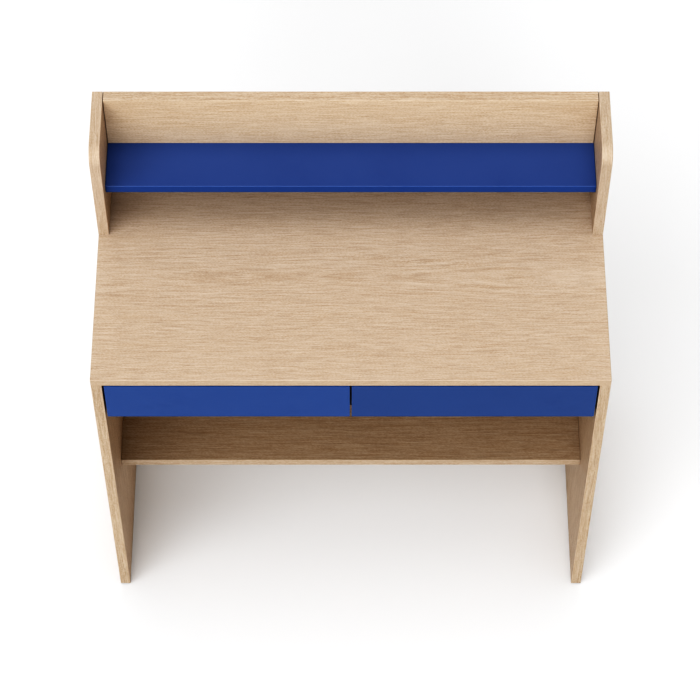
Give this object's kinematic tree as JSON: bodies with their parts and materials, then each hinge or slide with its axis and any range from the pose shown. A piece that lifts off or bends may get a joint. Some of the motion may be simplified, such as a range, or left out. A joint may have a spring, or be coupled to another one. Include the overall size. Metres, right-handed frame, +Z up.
{
  "type": "study desk with bookshelf",
  "caption": "Study desk in light oak veneer with blue drawer fronts hung on ball runners, a low bookshelf standing along the rear of the top, and an open shelf between the leg panels.",
  "frame": {"origin": "on the floor, under the middle of the desk's width and depth", "axes": "+X to the right of someone sitting at the desk, +Y to the back, +Z up"},
  "size_m": [0.9, 0.445, 0.991],
  "materials": {
    "oak_veneer": "satin clear lacquer on oak veneer",
    "blue_lacquer": "satin cobalt blue lacquer on board",
    "birch_board": "sealed birch plywood",
    "beech_dowel": "raw fluted beech",
    "zinc_steel": "bright zinc plating",
    "bearing_steel": "polished",
    "zinc_casting": "die-cast zinc",
    "white_nylon": "moulded"
  },
  "bodies": {
    "desk_frame": {"desktop": "oak_veneer", "side_panel_left": "oak_veneer", "side_panel_right": "oak_veneer", "lower_shelf": "oak_veneer", "rear_panel": "oak_veneer", "drawer_divider": "oak_veneer", "hutch_side_left": "oak_veneer", "hutch_side_right": "oak_veneer", "hutch_back": "oak_veneer", "hutch_shelf": "blue_lacquer", "frame_dowels": "beech_dowel", "frame_cam_bolts": "zinc_steel", "frame_cams": "zinc_casting", "hutch_dowels": "beech_dowel", "hutch_cam_bolts": "zinc_steel", "hutch_cams": "zinc_casting", "floor_glides": "white_nylon", "floor_glide_nails": "zinc_steel", "left_drawer_cabinet_rail_left": "zinc_steel", "left_drawer_cabinet_rail_right": "zinc_steel", "left_drawer_cabinet_rail_screws": "zinc_steel", "right_drawer_cabinet_rail_left": "zinc_steel", "right_drawer_cabinet_rail_right": "zinc_steel", "right_drawer_cabinet_rail_screws": "zinc_steel"},
    "left_drawer": {"left_drawer_front": "blue_lacquer", "left_drawer_side_left": "birch_board", "left_drawer_side_right": "birch_board", "left_drawer_back": "birch_board", "left_drawer_bottom": "birch_board", "left_drawer_rail_left": "zinc_steel", "left_drawer_rail_right": "zinc_steel", "left_drawer_dowels": "beech_dowel", "left_drawer_cam_bolts": "zinc_steel", "left_drawer_cams": "zinc_casting", "left_drawer_back_screws": "zinc_steel", "left_drawer_bottom_screws": "zinc_steel", "left_drawer_rail_screws": "zinc_steel"},
    "left_drawer_ball_cages": {"left_drawer_ball_cage_left": "zinc_steel", "left_drawer_ball_cage_right": "zinc_steel", "left_drawer_bearing_balls": "bearing_steel"},
    "right_drawer": {"right_drawer_front": "blue_lacquer", "right_drawer_side_left": "birch_board", "right_drawer_side_right": "birch_board", "right_drawer_back": "birch_board", "right_drawer_bottom": "birch_board", "right_drawer_rail_left": "zinc_steel", "right_drawer_rail_right": "zinc_steel", "right_drawer_dowels": "beech_dowel", "right_drawer_cam_bolts": "zinc_steel", "right_drawer_cams": "zinc_casting", "right_drawer_back_screws": "zinc_steel", "right_drawer_bottom_screws": "zinc_steel", "right_drawer_rail_screws": "zinc_steel"},
    "right_drawer_ball_cages": {"right_drawer_ball_cage_left": "zinc_steel", "right_drawer_ball_cage_right": "zinc_steel", "right_drawer_bearing_balls": "bearing_steel"}
  },
  "joints": [
    {"name": "left_drawer_slide", "type": "slide", "parent": "desk_frame", "child": "left_drawer", "axis": [0, -1, 0], "range_m": [0, 0.3]},
    {"name": "left_drawer_cage_slide", "type": "slide", "parent": "desk_frame", "child": "left_drawer_ball_cages", "axis": [0, -1, 0], "range_m": [0, 0.15]},
    {"name": "right_drawer_slide", "type": "slide", "parent": "desk_frame", "child": "right_drawer", "axis": [0, -1, 0], "range_m": [0, 0.3]},
    {"name": "right_drawer_cage_slide", "type": "slide", "parent": "desk_frame", "child": "right_drawer_ball_cages", "axis": [0, -1, 0], "range_m": [0, 0.15]}
  ],
  "couplings": [
    {"joint": "left_drawer_cage_slide", "follows": "left_drawer_slide", "ratio": 0.5},
    {"joint": "right_drawer_cage_slide", "follows": "right_drawer_slide", "ratio": 0.5}
  ]
}
